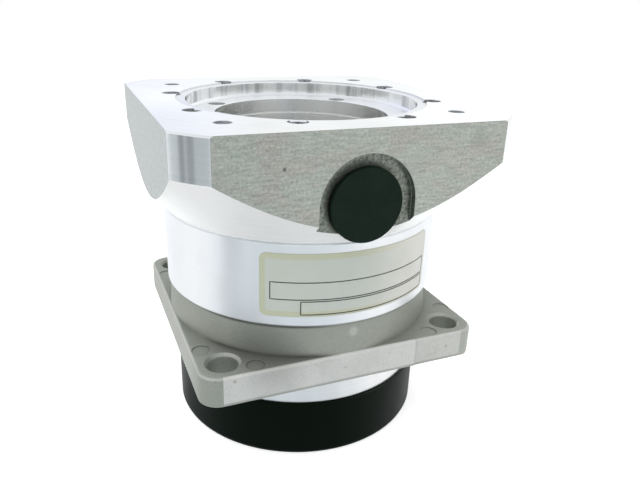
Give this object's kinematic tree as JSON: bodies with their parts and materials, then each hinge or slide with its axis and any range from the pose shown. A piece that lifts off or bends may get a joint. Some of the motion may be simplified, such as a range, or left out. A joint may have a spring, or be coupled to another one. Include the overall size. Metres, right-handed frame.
{
  "type": "planetary gearhead",
  "caption": "Planetary gearhead with a square output mounting flange, round gear case, tapered square motor adapter, rubber access plug and push-on output cap.",
  "frame": {"origin": "on the output axis, in the mounting face of the square flange", "axes": "+Z along the gear axis towards the motor, -Y towards the access plug"},
  "size_m": [0.1, 0.1, 0.1056],
  "materials": {
    "cast_aluminium": "matte bead-blasted casting with a machined pilot",
    "machined_aluminium": "turned and milled, satin",
    "paper_label": "pale matte sticker",
    "gear_steel": "ground and hardened",
    "bearing_steel": "polished",
    "carrier_steel": "turned",
    "zinc_steel": "bright zinc",
    "black_oxide_steel": "black oxide",
    "bronze": "sintered",
    "seal_rubber": "matte black",
    "plug_rubber": "matte black",
    "cap_plastic": "satin black"
  },
  "bodies": {
    "housing": {"output_casing": "cast_aluminium", "gear_case": "machined_aluminium", "rating_label": "paper_label", "ring_gear": "gear_steel", "input_plate": "machined_aluminium", "motor_adapter": "machined_aluminium", "case_bolts": "zinc_steel", "plate_screws": "zinc_steel", "dowel_pins": "bearing_steel", "case_seal_ring": "seal_rubber", "plate_seal_ring": "seal_rubber", "output_oil_seal": "seal_rubber", "input_oil_seal": "seal_rubber", "roller_outer_front": "bearing_steel", "roller_outer_rear": "bearing_steel", "casing_snap_ring": "black_oxide_steel", "plate_snap_ring": "black_oxide_steel", "ball_outer_ring": "bearing_steel"},
    "output": {"output_flange": "carrier_steel", "output_bore_plug": "carrier_steel", "roller_inner_ring": "bearing_steel", "carrier2_front": "carrier_steel", "carrier2_rear": "carrier_steel", "carrier2_screws": "black_oxide_steel", "carrier2_post_screws": "black_oxide_steel", "carrier2_pins": "bearing_steel", "carrier2_washers": "carrier_steel"},
    "stage1_carrier": {"carrier1_front": "carrier_steel", "carrier1_rear": "carrier_steel", "carrier1_post_screws": "black_oxide_steel", "carrier1_pins": "bearing_steel", "carrier1_washers": "carrier_steel", "stage2_sun": "gear_steel"},
    "input": {"input_hub": "carrier_steel", "input_sun": "gear_steel", "ball_inner_ring": "bearing_steel", "hub_snap_ring": "black_oxide_steel"},
    "roller_set": {"output_rollers": "bearing_steel"},
    "ball_set": {"input_balls": "bearing_steel", "input_ball_cage": "bronze"},
    "clamp_screw": {"clamp_screw": "black_oxide_steel"},
    "plug": {"access_plug": "plug_rubber"},
    "cap": {"output_cap": "cap_plastic"},
    "planet1_1": {"stage1_planet_1": "gear_steel", "stage1_bush_1": "bronze"},
    "planet1_2": {"stage1_planet_2": "gear_steel", "stage1_bush_2": "bronze"},
    "planet1_3": {"stage1_planet_3": "gear_steel", "stage1_bush_3": "bronze"},
    "planet1_4": {"stage1_planet_4": "gear_steel", "stage1_bush_4": "bronze"},
    "planet2_1": {"stage2_planet_1": "gear_steel", "stage2_bush_1": "bronze"},
    "planet2_2": {"stage2_planet_2": "gear_steel", "stage2_bush_2": "bronze"},
    "planet2_3": {"stage2_planet_3": "gear_steel", "stage2_bush_3": "bronze"},
    "planet2_4": {"stage2_planet_4": "gear_steel", "stage2_bush_4": "bronze"}
  },
  "joints": [
    {"name": "output_spin", "type": "hinge", "parent": "housing", "child": "output", "pos_m": [0, 0, 0], "axis": [0, 0, 1], "continuous": true},
    {"name": "stage1_spin", "type": "hinge", "parent": "housing", "child": "stage1_carrier", "pos_m": [0, 0, 0], "axis": [0, 0, 1], "continuous": true},
    {"name": "input_spin", "type": "hinge", "parent": "housing", "child": "input", "pos_m": [0, 0, 0], "axis": [0, 0, 1], "continuous": true},
    {"name": "roller_set_spin", "type": "hinge", "parent": "housing", "child": "roller_set", "pos_m": [0, 0, 0], "axis": [0, 0, 1], "continuous": true},
    {"name": "ball_set_spin", "type": "hinge", "parent": "housing", "child": "ball_set", "pos_m": [0, 0, 0], "axis": [0, 0, 1], "continuous": true},
    {"name": "planet2_1_spin", "type": "hinge", "parent": "output", "child": "planet2_1", "pos_m": [0.02, 0, 0], "axis": [0, 0, 1], "continuous": true},
    {"name": "planet2_2_spin", "type": "hinge", "parent": "output", "child": "planet2_2", "pos_m": [0, 0.02, 0], "axis": [0, 0, 1], "continuous": true},
    {"name": "planet2_3_spin", "type": "hinge", "parent": "output", "child": "planet2_3", "pos_m": [-0.02, 0, 0], "axis": [0, 0, 1], "continuous": true},
    {"name": "planet2_4_spin", "type": "hinge", "parent": "output", "child": "planet2_4", "pos_m": [0, -0.02, 0], "axis": [0, 0, 1], "continuous": true},
    {"name": "planet1_1_spin", "type": "hinge", "parent": "stage1_carrier", "child": "planet1_1", "pos_m": [0.021, 0, 0], "axis": [0, 0, 1], "continuous": true},
    {"name": "planet1_2_spin", "type": "hinge", "parent": "stage1_carrier", "child": "planet1_2", "pos_m": [0, 0.021, 0], "axis": [0, 0, 1], "continuous": true},
    {"name": "planet1_3_spin", "type": "hinge", "parent": "stage1_carrier", "child": "planet1_3", "pos_m": [-0.021, 0, 0], "axis": [0, 0, 1], "continuous": true},
    {"name": "planet1_4_spin", "type": "hinge", "parent": "stage1_carrier", "child": "planet1_4", "pos_m": [0, -0.021, 0], "axis": [0, 0, 1], "continuous": true},
    {"name": "clamp_screw_turn", "type": "hinge", "parent": "input", "child": "clamp_screw", "pos_m": [-0.00671, 0, 0.0567], "axis": [0, -1, 0], "range_deg": [0, 720]},
    {"name": "plug_pull", "type": "slide", "parent": "housing", "child": "plug", "axis": [0, -1, 0], "range_m": [0, 0.02]},
    {"name": "cap_pull", "type": "slide", "parent": "housing", "child": "cap", "axis": [0, 0, -1], "range_m": [0, 0.04]}
  ],
  "couplings": [
    {"joint": "stage1_spin", "follows": "input_spin", "ratio": 0.2381},
    {"joint": "output_spin", "follows": "input_spin", "ratio": 0.047619},
    {"joint": "roller_set_spin", "follows": "input_spin", "ratio": 0.022316},
    {"joint": "ball_set_spin", "follows": "input_spin", "ratio": 0.43269},
    {"joint": "planet2_1_spin", "follows": "input_spin", "ratio": -0.12698},
    {"joint": "planet2_2_spin", "follows": "input_spin", "ratio": -0.12698},
    {"joint": "planet2_3_spin", "follows": "input_spin", "ratio": -0.12698},
    {"joint": "planet2_4_spin", "follows": "input_spin", "ratio": -0.12698},
    {"joint": "planet1_1_spin", "follows": "input_spin", "ratio": -0.69264},
    {"joint": "planet1_2_spin", "follows": "input_spin", "ratio": -0.69264},
    {"joint": "planet1_3_spin", "follows": "input_spin", "ratio": -0.69264},
    {"joint": "planet1_4_spin", "follows": "input_spin", "ratio": -0.69264}
  ]
}
